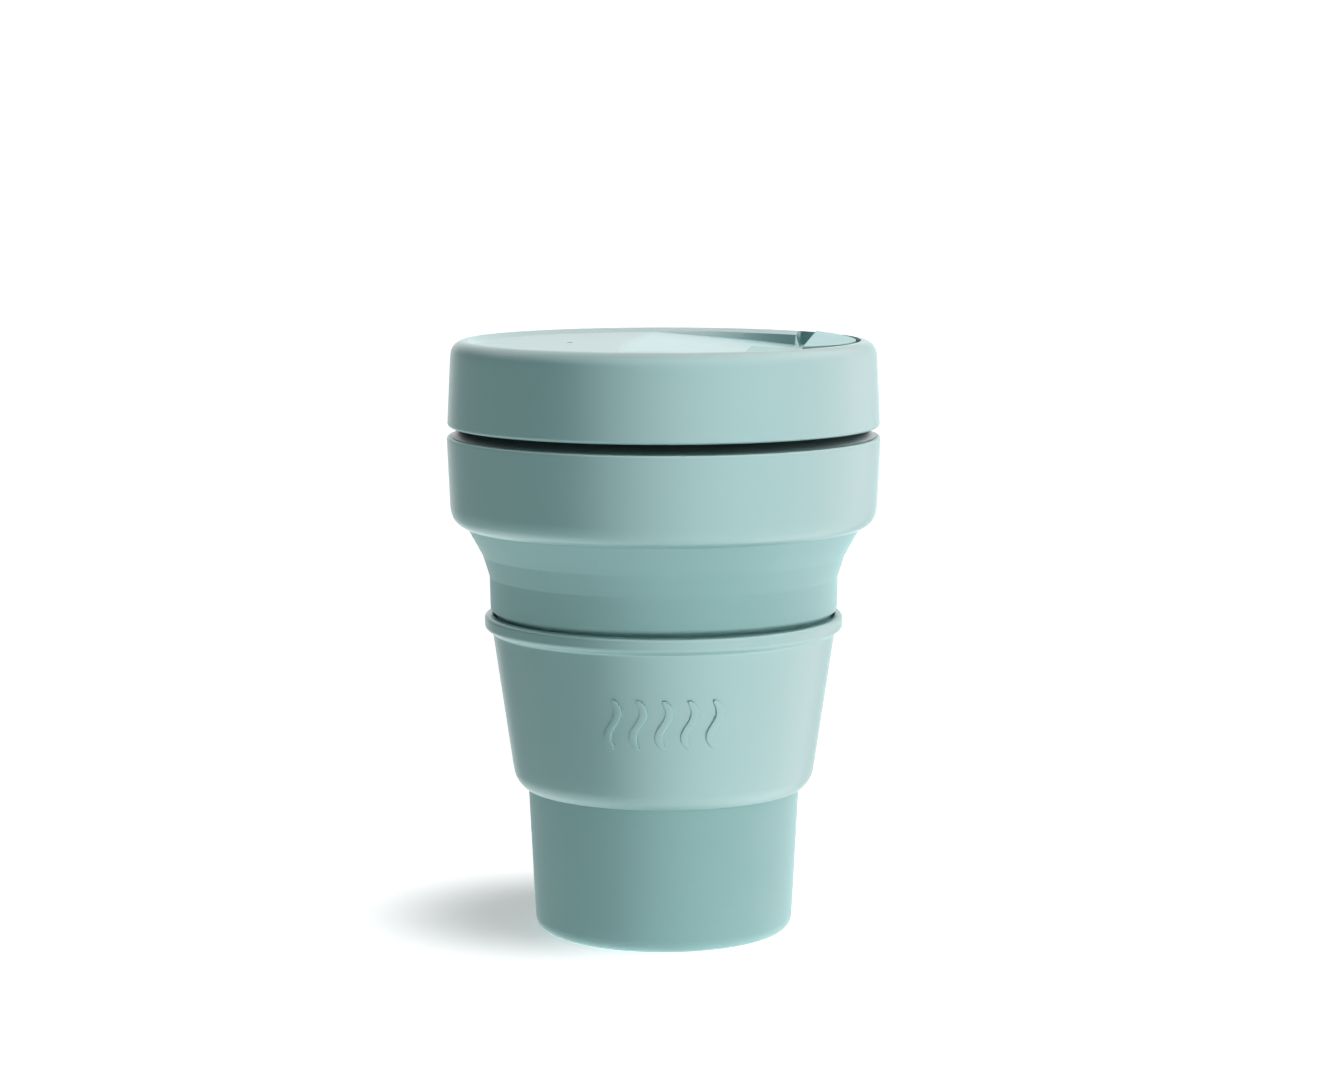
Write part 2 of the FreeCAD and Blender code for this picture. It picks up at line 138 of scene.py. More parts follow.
def mouldedSurfaceGroup():
    # colour drift, fine mould grain, a little uneven gloss and a painted shade at the neck's foot, for the
    # plastic and the silicone
    group = bpy.data.node_groups.new("mouldedSurface", "ShaderNodeTree")
    for label, kind, value in (("Color", "NodeSocketColor", (0.5, 0.6, 0.6, 1)),
                               ("Drift", "NodeSocketFloat", 0.04), ("Drift Scale", "NodeSocketFloat", 25),
                               ("Grain Scale", "NodeSocketFloat", 3500),
                               ("Grain Depth", "NodeSocketFloat", 0.1),
                               ("Gloss", "NodeSocketFloat", 0.4), ("Gloss Drift", "NodeSocketFloat", 0.08)):
        socket = group.interface.new_socket(label, in_out="INPUT", socket_type=kind)
        socket.default_value = value
    for label, kind in (("Color", "NodeSocketColor"), ("Roughness", "NodeSocketFloat"),
                        ("Normal", "NodeSocketVector")):
        group.interface.new_socket(label, in_out="OUTPUT", socket_type=kind)
    add, link = group.nodes.new, group.links.new
    given, result = add("NodeGroupInput"), add("NodeGroupOutput")
    place = add("ShaderNodeTexCoord")

    cloud = add("ShaderNodeTexNoise")
    cloud.inputs["Detail"].default_value = 3
    link(place.outputs["Object"], cloud.inputs["Vector"])
    link(given.outputs["Drift Scale"], cloud.inputs["Scale"])
    centred = add("ShaderNodeMath")
    centred.operation = "SUBTRACT"
    centred.inputs[1].default_value = 0.5
    link(cloud.outputs["Fac"], centred.inputs[0])
    drift = add("ShaderNodeMath")
    drift.operation = "MULTIPLY_ADD"
    drift.inputs[2].default_value = 1.0
    link(centred.outputs[0], drift.inputs[0])
    link(given.outputs["Drift"], drift.inputs[1])
    tinted = add("ShaderNodeVectorMath")
    tinted.operation = "SCALE"
    link(given.outputs["Color"], tinted.inputs[0])
    link(drift.outputs[0], tinted.inputs["Scale"])

    # painted shade: the foot of the neck, inside the gap under the lid, is coloured near-black where deep
    # shade falls
    apart, flat = add("ShaderNodeSeparateXYZ"), add("ShaderNodeCombineXYZ")
    away = add("ShaderNodeVectorMath")
    away.operation = "LENGTH"
    link(place.outputs["Object"], apart.inputs[0])
    link(apart.outputs["X"], flat.inputs["X"])
    link(apart.outputs["Y"], flat.inputs["Y"])
    link(flat.outputs[0], away.inputs[0])
    mask = None
    for value, fade in ((away.outputs["Value"], "outwards"), (apart.outputs["Z"], "lowest"),
                        (apart.outputs["Z"], "highest")):
        edge = add("ShaderNodeMapRange")
        edge.inputs["From Min"].default_value, edge.inputs["From Max"].default_value = paintedNeckShade[fade]
        link(value, edge.inputs["Value"])
        if mask:
            both = add("ShaderNodeMath")
            both.operation = "MULTIPLY"
            link(mask, both.inputs[0])
            link(edge.outputs["Result"], both.inputs[1])
            mask = both.outputs[0]
        else:
            mask = edge.outputs["Result"]
    shaded = add("ShaderNodeMix")
    shaded.data_type = "RGBA"
    colourIn, shadeIn = [socket for socket in shaded.inputs if socket.type == "RGBA"]
    shadeIn.default_value = paintedNeckShade["colour"]
    link(mask, shaded.inputs[0])
    link(tinted.outputs["Vector"], colourIn)
    link(next(socket for socket in shaded.outputs if socket.type == "RGBA"), result.inputs["Color"])

    sheen = add("ShaderNodeTexNoise")
    sheen.inputs["Detail"].default_value = 4
    sheen.inputs["Scale"].default_value = 140
    link(place.outputs["Object"], sheen.inputs["Vector"])
    uneven = add("ShaderNodeMath")
    uneven.operation = "MULTIPLY_ADD"
    link(sheen.outputs["Fac"], uneven.inputs[0])
    link(given.outputs["Gloss Drift"], uneven.inputs[1])
    link(given.outputs["Gloss"], uneven.inputs[2])
    link(uneven.outputs[0], result.inputs["Roughness"])

    grain = add("ShaderNodeTexNoise")
    grain.inputs["Detail"].default_value = 2
    link(place.outputs["Object"], grain.inputs["Vector"])
    link(given.outputs["Grain Scale"], grain.inputs["Scale"])
    bump = add("ShaderNodeBump")
    bump.inputs["Distance"].default_value = 0.00004
    link(grain.outputs["Fac"], bump.inputs["Height"])
    link(given.outputs["Grain Depth"], bump.inputs["Strength"])
    link(bump.outputs["Normal"], result.inputs["Normal"])
    return group


def mouldedMaterial(name, group, values, sockets):
    material = bpy.data.materials.new(name)
    material.use_nodes = True
    nodes, links = material.node_tree.nodes, material.node_tree.links
    shader = nodes["Principled BSDF"] if "Principled BSDF" in nodes else nodes.new("ShaderNodeBsdfPrincipled")
    surface = nodes.new("ShaderNodeGroup")
    surface.node_tree = group
    for label, value in values.items():
        surface.inputs[label].default_value = value
    links.new(surface.outputs["Color"], shader.inputs["Base Color"])
    links.new(surface.outputs["Roughness"], shader.inputs["Roughness"])
    links.new(surface.outputs["Normal"], shader.inputs["Normal"])
    for label, value in sockets.items():
        shader.inputs[label].default_value = value
    return material


sageGroup = mouldedSurfaceGroup()
sageGreen = (0.186, 0.347, 0.344, 1)
satinPlastic = mouldedMaterial("satinPlastic", sageGroup, {
    "Color": sageGreen, "Drift": 0.03, "Drift Scale": 18, "Grain Scale": 4200, "Grain Depth": 0.12,
    "Gloss": 0.3, "Gloss Drift": 0.07}, {"IOR": 1.49, "Specular IOR Level": 0.5})
softSilicone = mouldedMaterial("softSilicone", sageGroup, {
    "Color": sageGreen, "Drift": 0.05, "Drift Scale": 30, "Grain Scale": 2600, "Grain Depth": 0.2,
    "Gloss": 0.48, "Gloss Drift": 0.1},
    {"IOR": 1.41, "Subsurface Weight": 0.12, "Subsurface Radius": (1.0, 1.0, 1.0), "Subsurface Scale": 0.0015,
     "Sheen Weight": 0.08, "Sheen Roughness": 0.5})
print("materials made")


foldRing = 0.6        # the folds are cut into rings about this tall, so that they can roll over themselves
siliconeWall = {
    # the foot and the straight wall above it
    "base": [(0, 0.8, 0), (18.4, 0.8, 0.4), (19.2, 0, 0.5), (27.4, 0, 2.6), (27.6, 3.4, 0.6), (29.15, 34, 0),
             (27.05, 34, 0), (25.6, 3, 4.6), (0, 3, 0)],
    "lowerFold": [(29.15, 34, 0), (32.1, 50, 0), (30.7, 50, 0), (27.75, 34, 0)],
    "middle": [(32.1, 50, 0), (34.25, 64.3, 0.6), (35.4, 66.4, 0), (33.8, 66.4, 0), (32.65, 64.3, 0.6),
               (30.5, 50, 0)],
    # a shoulder, an upright band, a sloping step and a flare up to the collar
    "upperFold": [(35.4, 66.4, 0), (35.6, 68.6, 0.3), (36.9, 68.75, 1.1), (37.1, 76.3, 0.18),
                  (38.55, 80.9, 0.22), (41.9, 86.9, 0), (40.5, 86.9, 0), (37.1, 80.9, 0.5),
                  (35.7, 76.3, 0.45), (35.5, 70.4, 0.8), (34.1, 68.6, 0.6), (34.0, 66.4, 0)],
    "rim": [(41.9, 86.9, 0), (42.0, 88.9, 0.2), (43.4, 89.9, 0), (43.4, 104.5, 0), (40.6, 104.5, 0),
            (40.6, 89.9, 1), (40.5, 86.9, 0)],
}


def foldPiece(name, corners):
    bm = bmesh.new()
    drawOutline(bm, corners)
    for edge in [edge for edge in bm.edges if edge.calc_length() > 1.5 * foldRing * mm]:
        bmesh.ops.subdivide_edges(bm, edges=[edge], cuts=int(edge.calc_length() / (foldRing * mm)))
    latheOutline(bm)
    return finishPiece(name, bm, softSilicone)


def makeSiliconeCup():
    for part, node, body in (("base", "base_section", "base"), ("middle", "middle_section", "middle"),
                             ("rim", "rim_section", "collar")):
        piece = turnedPiece("cup_" + part, siliconeWall[part], softSilicone)
        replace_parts(evenNormals(piece), node)
        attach(piece, body)
    for part, node, bodies in (("lowerFold", "lower_fold", ("base", "middle")),
                               ("upperFold", "upper_fold", ("middle", "collar"))):
        piece = foldPiece("cup_" + part, siliconeWall[part])
        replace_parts(piece, node)
        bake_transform(piece)


makeSiliconeCup()
print("silicone cup made")


threadSizes = {
    "lead": 8.0, "rise": 5.6, "root": 1.7, "crest": 0.8, "high": 1.1, "bite": 0.3, "perTurn": 144,
    "early": 0.1, "runOut": 0.16,        # shares of the rise over which a ridge grows and fades
}


def addRidges(wall, wallRadius, outward, lowest):
    # two helical ridges, half a turn apart, that run out gently at their ends
    bm, sizes = bmesh.new(), threadSizes
    turns = sizes["rise"] / sizes["lead"]
    steps = int(sizes["perTurn"] * turns)
    for startAngle in (0, math.pi):
        shape = [(-sizes["bite"], -0.5 * sizes["root"]), (sizes["high"], -0.5 * sizes["crest"]),
                 (sizes["high"], 0.5 * sizes["crest"]), (-sizes["bite"], 0.5 * sizes["root"])]
        verts = [bm.verts.new(((wallRadius + outward * out) * mm, 0, (lowest + rise) * mm))
                 for out, rise in shape]
        edges = [bm.edges.new((verts[i], verts[(i + 1) % 4])) for i in range(4)]
        bmesh.ops.rotate(bm, verts=verts, cent=(0, 0, 0), matrix=Matrix.Rotation(startAngle, 3, "Z"))
        before = set(bm.verts) - set(verts)
        bmesh.ops.spin(bm, geom=verts + edges, cent=(0, 0, 0), axis=(0, 0, 1), angle=math.tau * turns,
                       steps=steps, dvec=(0, 0, sizes["rise"] / steps * mm), use_merge=False,
                       use_duplicate=False)
        ridge = [vert for vert in bm.verts if vert not in before]
        for vert in ridge:
            along = (vert.co.z / mm - lowest) / sizes["rise"]
            reach = min(smoothStep((along + sizes["early"]) / sizes["runOut"]),
                        smoothStep((1 + sizes["early"] - along) / sizes["runOut"]))
            radius = vert.co.xy.length / mm
            if outward * (radius - wallRadius) > 0:
                wanted = wallRadius + (radius - wallRadius) * reach
                vert.co.x *= wanted / radius
                vert.co.y *= wanted / radius
        ends = [edge for vert in ridge for edge in vert.link_edges if edge.is_boundary]
        bmesh.ops.holes_fill(bm, edges=list(set(ends)), sides=4)
    mesh = bpy.data.meshes.new("ridges")
    bm.to_mesh(mesh)
    bm.free()
    wall.from_mesh(mesh)
    bpy.data.meshes.remove(mesh)


collarSizes = {
    "outline": [(40.4, 104.5, 0), (43.4, 104.5, 0), (43.4, 89.9, 0), (42.3, 88.9, 0.2), (42.3, 87.3, 0.06),
                (42.7, 87.05, 0.14), (44.6, 88.3, 1.1), (45.3, 90.6, 0.9), (46.0, 106.3, 0.85),
                (44.9, 106.15, 0.1), (42.0, 108.9, 0.1), (42.4, 109.3, 0.1), (42.4, 118.0, 0.5),
                (40.4, 118.0, 0.5)],
    "threadHeight": 110.9, "neckRadius": 42.4,
}


def makeCollar():
    bm = bmesh.new()
    drawOutline(bm, collarSizes["outline"])
    latheOutline(bm)
    addRidges(bm, collarSizes["neckRadius"], 1, collarSizes["threadHeight"])
    piece = finishPiece("collar", bm, satinPlastic)
    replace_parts(evenNormals(piece), "collar_ring")
    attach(piece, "collar")


makeCollar()
print("collar made")


sleeveSizes = {
    "outline": [(29.5, 31.05, 0.2), (30.0, 31.0, 0.3), (31.75, 32.9, 1.3), (32.25, 35.4, 1.0),
                (36.5, 64.35, 0.35), (37.55, 64.95, 0.3), (38.15, 65.5, 0.45), (38.2, 68.1, 0.85),
                (36.3, 68.1, 0.35), (36.3, 67.3, 0.3), (34.65, 64.3, 0.5), (30.3, 35.4, 0.8),
                (29.5, 33.0, 0.4)],
    "wallLow": (32.2, 35.0), "wallHigh": (36.55, 64.3),
}
markSizes = {
    # soft rounds the waves' edges while they are still drawn flat, with a depth of one
    "height": 49.6, "wave": 1.1, "bars": 5, "spacing": 5.3, "long": 10.4, "wide": 1.7, "tip": 0.35,
    "blunt": 6, "raised": 0.45, "sunk": 0.3, "soft": 0.16,
}


def sleeveRadius(height):
    (lowRadius, lowHeight), (highRadius, highHeight) = sleeveSizes["wallLow"], sleeveSizes["wallHigh"]
    share = (height - lowHeight) / (highHeight - lowHeight)
    return lowRadius + (highRadius - lowRadius) * share


def makeSleeveMark():
    # a row of upright waves, like steam, raised from the sleeve's front
    bm, size = bmesh.new(), markSizes
    half = (size["bars"] - 1) / 2
    for bar in range(size["bars"]):
        before = set(bm.verts)
        bmesh.ops.create_grid(bm, x_segments=2, y_segments=40, size=0.5)
        fresh = [vert for vert in bm.verts if vert not in before]
        for vert in fresh:
            rise = vert.co.y
            full = math.sqrt(max(0.0, 1 - (2 * abs(rise)) ** size["blunt"]))      # narrows towards its ends
            side = vert.co.x * size["wide"] * (size["tip"] + (1 - size["tip"]) * full)
            side += (bar - half) * size["spacing"] + size["wave"] * math.sin(rise * math.tau)
            vert.co = Vector((side, 0, rise * size["long"]))
        faces = [face for face in bm.faces if all(vert in fresh for vert in face.verts)]
        lifted = bmesh.ops.extrude_face_region(bm, geom=faces)
        raised = [item for item in lifted["geom"] if isinstance(item, bmesh.types.BMVert)]
        bmesh.ops.translate(bm, verts=raised, vec=(0, 1, 0))
    rims = [edge for edge in bm.edges if len(edge.link_faces) == 2 and min(v.co.y for v in edge.verts) > 0.5
            and edge.calc_face_angle(0) > 1]
    rounded(bm, rims, size["soft"] / mm, 3)
    for vert in bm.verts:
        height = size["height"] + vert.co.z
        radius = sleeveRadius(height) - size["sunk"] + vert.co.y * (size["raised"] + size["sunk"])
        angle = vert.co.x / sleeveRadius(height) - math.pi / 2
        vert.co = Vector((radius * math.cos(angle), radius * math.sin(angle), height)) * mm
    piece = finishPiece("sleeve_mark", bm, satinPlastic)
    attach(piece, "sleeve")


def makeSleeve():
    piece = turnedPiece("sleeve", sleeveSizes["outline"], satinPlastic)
    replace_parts(evenNormals(piece), "heat_sleeve")
    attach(piece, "sleeve")


makeSleeve()
makeSleeveMark()
print("heat sleeve made")


lidSizes = {
    # the recess falls in a ramp to the flap's seat, and past a chord lies a ledge as high as the crest
    "turn": -5.5, "crestRadius": 41.5, "crestHeight": 126.35, "recessRadius": 38.2, "recessHeight": 125.6,
    "rampStart": -6.2, "rampEnd": 26.9, "rampHeight": 123.5, "ledgeChord": 31.15, "ledgeTurn": 241.9,
    "padRadius": 41.5, "edge": 0.7, "corner": 0.9,
    # how finely the top and the ceiling are divided
    "steps": 720, "topInner": 30.0, "topRings": 48, "innerRings": 10, "ceilingRings": 12,
    # the plate is as thick everywhere, so the ceiling inside the rib follows the recess
    "plate": 1.8, "ceilingRadius": 37.3, "ceiling": 121.6,
    "outside": [(41.9, 126.35, 0.25), (44.75, 126.3, 2.7), (45.15, 123.0, 0.8), (45.85, 108.2, 0.8),
                (44.0, 108.2, 0.35), (44.0, 120.4, 0.3), (39.7, 120.4, 0.3), (39.7, 116.2, 0.4),
                (38.2, 116.2, 0.4), (38.2, 121.6, 0.8), (0, 121.6, 0)],
    "threadHeight": 109.38, "boreRadius": 44.0, "sipHole": (34.0, 3.65), "ventHole": (-20.0, 0.7),
    "near": 0.1,        # how close counts as lying on the top or the ceiling
}


def recessFloor(x):
    size = lidSizes
    run = min(x, size["rampEnd"]) - size["rampStart"]
    slope = (size["recessHeight"] - size["rampHeight"]) / (size["rampEnd"] - size["rampStart"])
    return size["recessHeight"] - slope * max(0.0, run)


def pastLedge(x, y):
    # how far a place lies past the chord that bounds the ledge
    turn = math.radians(lidSizes["ledgeTurn"])
    return x * math.cos(turn) + y * math.sin(turn) - lidSizes["ledgeChord"]


def pastStart(x, y):
    return x - lidSizes["rampStart"]


def intoOpening(x, y):
    # how far a place lies inside the recess and the flap's seat, which meet at a rounded corner
    size, radius = lidSizes, math.hypot(x, y)
    inRecess, inSeat = size["recessRadius"] - radius + size["corner"], x - size["rampEnd"] + size["corner"]
    opened = min(0.0, max(inRecess, inSeat)) + math.hypot(max(0.0, inRecess), max(0.0, inSeat))
    return min(opened - size["corner"], size["padRadius"] - radius)


def nudged(x, y, measure):
    # moves a place that lies close to an edge onto the nearer side of it, so that the edge comes out clean
    step, away = 0.01, measure(x, y)
    if abs(away) > lidSizes["edge"]:
        return x, y
    slopeX = (measure(x + step, y) - away) / step
    slopeY = (measure(x, y + step) - away) / step
    share = (math.copysign(lidSizes["edge"] / 2, away) - away) / max(0.5, slopeX ** 2 + slopeY ** 2)
    return x + slopeX * share, y + slopeY * share


def lidTopPlace(x, y):
    # where a point of the lid's top goes: onto clean edges, at the height of ledge, ramp or seat
    size = lidSizes
    onLedge = pastLedge(x, y) > -size["edge"] and x < size["rampStart"] + size["edge"]
    if pastStart(x, y) > -size["edge"]:
        x, y = nudged(x, y, intoOpening)
    if onLedge:
        x, y = nudged(x, y, pastLedge)
        x, y = nudged(x, y, pastStart)
    slope = (math.hypot(x, y) - size["recessRadius"]) / (size["crestRadius"] - size["recessRadius"])
    height = size["recessHeight"] + (size["crestHeight"] - size["recessHeight"]) * max(0.0, min(1.0, slope))
    height += (size["crestHeight"] - height) * smoothStep(pastLedge(x, y) / size["edge"] + 0.5)
    lowered = smoothStep(intoOpening(x, y) / size["edge"] + 0.5)
    lowered *= smoothStep(pastStart(x, y) / size["edge"] + 0.5)
    return Vector((x, y, height + (recessFloor(x) - height) * lowered))


def onLid(piece):
    # the lid's pieces are drawn with the drinking side on +X, then turned about the cup's axis
    piece.data.transform(Matrix.Rotation(math.radians(lidSizes["turn"]), 4, "Z"))
    return piece


def cutRound(piece, x, radius):
    # a plain round hole through the lid's plate
    bm = bmesh.new()
    bmesh.ops.create_cone(bm, cap_ends=True, segments=64, radius1=radius * mm, radius2=radius * mm,
                          depth=20 * mm)
    bmesh.ops.translate(bm, verts=bm.verts[:], vec=(x * mm, 0, lidSizes["recessHeight"] * mm))
    mesh = bpy.data.meshes.new("cutter")
    bm.to_mesh(mesh)
    bm.free()
    cutter = bpy.data.objects.new("cutter", mesh)
    bpy.context.scene.collection.objects.link(cutter)
    cut = piece.modifiers.new("cut", "BOOLEAN")
    cut.object = cutter
    cut.operation = "DIFFERENCE"
    cut.solver = "EXACT"
    graph = bpy.context.evaluated_depsgraph_get()
    done = bpy.data.meshes.new_from_object(piece.evaluated_get(graph))
    piece.modifiers.clear()
    piece.data = done
    bpy.data.objects.remove(cutter)


def makeLid():
    size = lidSizes
    bm = bmesh.new()
    drawOutline(bm, [(0, size["recessHeight"], 0), (size["topInner"], size["recessHeight"], 0),
                     (size["crestRadius"], size["crestHeight"], 0)] + size["outside"])
    bm.edges.ensure_lookup_table()
    floor, slope = bm.edges[0], bm.edges[1]
    ceiling = next(edge for edge in bm.edges
                   if all(abs(vert.co.z / mm - size["ceiling"]) < 0.01 for vert in edge.verts))
    bmesh.ops.subdivide_edges(bm, edges=[slope], cuts=size["topRings"])
    bmesh.ops.subdivide_edges(bm, edges=[floor], cuts=size["innerRings"])
    bmesh.ops.subdivide_edges(bm, edges=[ceiling], cuts=size["ceilingRings"])
    latheOutline(bm, steps=size["steps"])
    for vert in bm.verts:
        x, y, z = vert.co / mm
        radius = math.hypot(x, y)
        if z > size["recessHeight"] - size["near"] and radius <= size["crestRadius"] + 0.01:
            vert.co = lidTopPlace(x, y) * mm
        elif z > size["ceiling"] - size["near"] and radius < size["ceilingRadius"]:
            vert.co.z = (recessFloor(x) - size["plate"]) * mm
    addRidges(bm, size["boreRadius"], -1, size["threadHeight"])
    piece = finishPiece("lid", bm, satinPlastic, sharpAngle=50)
    cutRound(piece, *size["sipHole"])
    cutRound(piece, *size["ventHole"])
    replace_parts(evenNormals(onLid(piece)), "lid_shell")
    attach(piece, "lid")


sealOutline = [(39.9, 120.25, 0.15), (39.9, 118.05, 0.55), (43.8, 118.05, 0.55), (43.8, 120.25, 0.15)]


def makeSeal():
    piece = turnedPiece("lid_seal", sealOutline, softSilicone)
    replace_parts(piece, "seal_ring")
    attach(piece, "lid_seal")


makeLid()
makeSeal()
print("lid made")


stopperSizes = {
    # the flap: its slanted face rises from the foot to the crown, and its top falls a little to the tip
    "radius": 40.6, "footX": 29.6, "footHeight": 124.2, "chordX": 30.95, "low": 123.6, "top": 126.74,
    "tip": 126.35, "edge": 0.2,
    "plugX": 34.0, "plugRadius": 3.4, "plugTip": 2.6, "plugLow": 120.6, "plugEdge": 0.6,
    # the strap, which bends between strapStart and footX
    "strapStart": 26.6, "strapHalf": 13.0, "strapThick": 0.55, "strapTop": 124.2, "bendX": 28.6,
    # the anchor's pad and its two mushroom stems
    "anchorStart": 17.6, "padDepth": 0.7, "padProud": 0.15, "padEdge": 0.12,
    "stemX": 21.0, "stemY": 7.0, "stemRadius": 1.85, "stemHead": 2.9, "stemHeadTop": 121.45, "stemLow": 120.3,
    # overlaps: strap into flap and stem into its head, then plug into flap and stem into pad
    "lap": 0.1, "sunk": 0.4,
}


def everything(bm):
    return bm.verts[:] + bm.edges[:] + bm.faces[:]


def makeFlap():
    size = stopperSizes
    bm = bmesh.new()
    bmesh.ops.create_circle(bm, cap_ends=True, segments=360, radius=size["radius"] * mm)
    bmesh.ops.translate(bm, verts=bm.verts[:], vec=(0, 0, size["low"] * mm))
    bmesh.ops.bisect_plane(bm, geom=everything(bm), plane_co=(size["footX"] * mm, 0, 0),
                           plane_no=(-1, 0, 0), clear_outer=True)
    lifted = bmesh.ops.extrude_face_region(bm, geom=bm.faces[:])
    top = [item for item in lifted["geom"] if isinstance(item, bmesh.types.BMVert)]
    bmesh.ops.translate(bm, verts=top, vec=(0, 0, (size["top"] - size["low"]) * mm))
    foot, crown = Vector((size["footX"], 0, size["footHeight"])), Vector((size["chordX"], 0, size["top"]))
    tip = Vector((size["radius"], 0, size["tip"]))
    for corner, along in ((foot, crown - foot), (crown, tip - crown)):
        cut = bmesh.ops.bisect_plane(bm, geom=everything(bm), plane_co=corner * mm,
                                     plane_no=(-along.z, 0, along.x), clear_outer=True)
        opened = [item for item in cut["geom_cut"] if isinstance(item, bmesh.types.BMEdge)]
        bmesh.ops.holes_fill(bm, edges=opened)
    bmesh.ops.recalc_face_normals(bm, faces=bm.faces[:])
    rims = [edge for edge in bm.edges if len(edge.link_faces) == 2 and edge.calc_face_angle(0) > 0.5]
    rounded(bm, rims, size["edge"], 4)
    before = set(bm.verts)
    depth = size["low"] + size["sunk"] - size["plugLow"]
    bmesh.ops.create_cone(bm, cap_ends=True, segments=64, radius1=size["plugTip"] * mm,
                          radius2=size["plugRadius"] * mm, depth=depth * mm)
    plug = [vert for vert in bm.verts if vert not in before]
    bmesh.ops.translate(bm, verts=plug, vec=(size["plugX"] * mm, 0, (size["plugLow"] + depth / 2) * mm))
    plugRim = [edge for edge in bm.edges
               if all(vert in plug and vert.co.z < (size["plugLow"] + 0.1) * mm for vert in edge.verts)]
    rounded(bm, plugRim, size["plugEdge"], 4)
    piece = finishPiece("stopper_flap_soft", bm, softSilicone)
    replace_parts(evenNormals(onLid(piece)), "stopper_flap")
    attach(piece, "flap")


def makeStrap():
    # a thin web, finely divided along its length so that it bends
    size = stopperSizes
    bm = bmesh.new()
    bmesh.ops.create_grid(bm, x_segments=14, y_segments=2, size=0.5)
    for vert in bm.verts:
        along = vert.co.x + 0.5
        x = size["strapStart"] + along * (size["footX"] + size["lap"] - size["strapStart"])
        low = recessFloor(size["strapStart"]) + size["padProud"]
        height = low + (size["strapTop"] - low) * smoothStep(along)
        vert.co = Vector((x, vert.co.y * 2 * size["strapHalf"], height)) * mm
    lifted = bmesh.ops.extrude_face_region(bm, geom=bm.faces[:])
    under = [item for item in lifted["geom"] if isinstance(item, bmesh.types.BMVert)]
    bmesh.ops.translate(bm, verts=under, vec=(0, 0, -size["strapThick"] * mm))
    piece = finishPiece("stopper_strap", bm, softSilicone)
    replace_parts(onLid(piece), "stopper_hinge")
    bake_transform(piece)


def makeAnchor():
    size = stopperSizes
    bm = bmesh.new()
    bmesh.ops.create_cube(bm, size=1)
    for vert in bm.verts:
        x = size["anchorStart"] if vert.co.x < 0 else size["strapStart"]
        height = recessFloor(x) + (size["padProud"] if vert.co.z > 0 else -size["padDepth"])
        vert.co = Vector((x, math.copysign(size["strapHalf"], vert.co.y), height)) * mm
    rounded(bm, bm.edges[:], size["padEdge"], 2)
    for side in (1, -1):
        for radius, low, high in ((size["stemRadius"], size["stemHeadTop"] - size["lap"],
                                   recessFloor(size["stemX"]) - size["sunk"]),
                                  (size["stemHead"], size["stemLow"], size["stemHeadTop"])):
            before = set(bm.verts)
            bmesh.ops.create_cone(bm, cap_ends=True, segments=48, radius1=radius * mm, radius2=radius * mm,
                                  depth=(high - low) * mm)
            fresh = [vert for vert in bm.verts if vert not in before]
            bmesh.ops.translate(bm, verts=fresh, vec=(size["stemX"] * mm, side * size["stemY"] * mm,
                                                      (high + low) / 2 * mm))
    piece = finishPiece("stopper_anchor_soft", bm, softSilicone)
    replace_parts(evenNormals(onLid(piece)), "stopper_anchor")
    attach(piece, "lid")


makeFlap()
makeStrap()
makeAnchor()
print("stopper made")


studio = {
    # turns are in degrees from the camera's side of the cup towards the right; the glow lights matt surfaces
    # and the sheen is what glossy ones mirror
    "keyTurn": 57, "keyRise": 44, "keySpread": 50, "keyStrength": 0.08, "glowTurn": 52, "glowRise": 12,
    "glow": {"low": 0.04, "side": 0.05, "above": 0.35, "behind": 0.0, "below": 0.0},
    "sheen": {"low": 0.3, "side": 10.7, "above": 4.2, "behind": 1.2, "below": 3.0},
    # the paper's glow is lower near the cup as a painted shadow, and its bounce is a steady glow that lights
    # the cup
    "floorWhite": 0.95, "floorGlow": 0.85, "shadeGlow": 0.28, "shadeInner": 0.016, "shadeOuter": 0.055,
    "shadeCentre": (-0.02, 0.01, 0), "bounce": 0.7, "floorHalf": 12,        # places on the floor in metres
}
cameraSizes = {"place": (-0.47, -717, 172), "tilt": 7.02, "lens": 92.3, "sensor": 36}


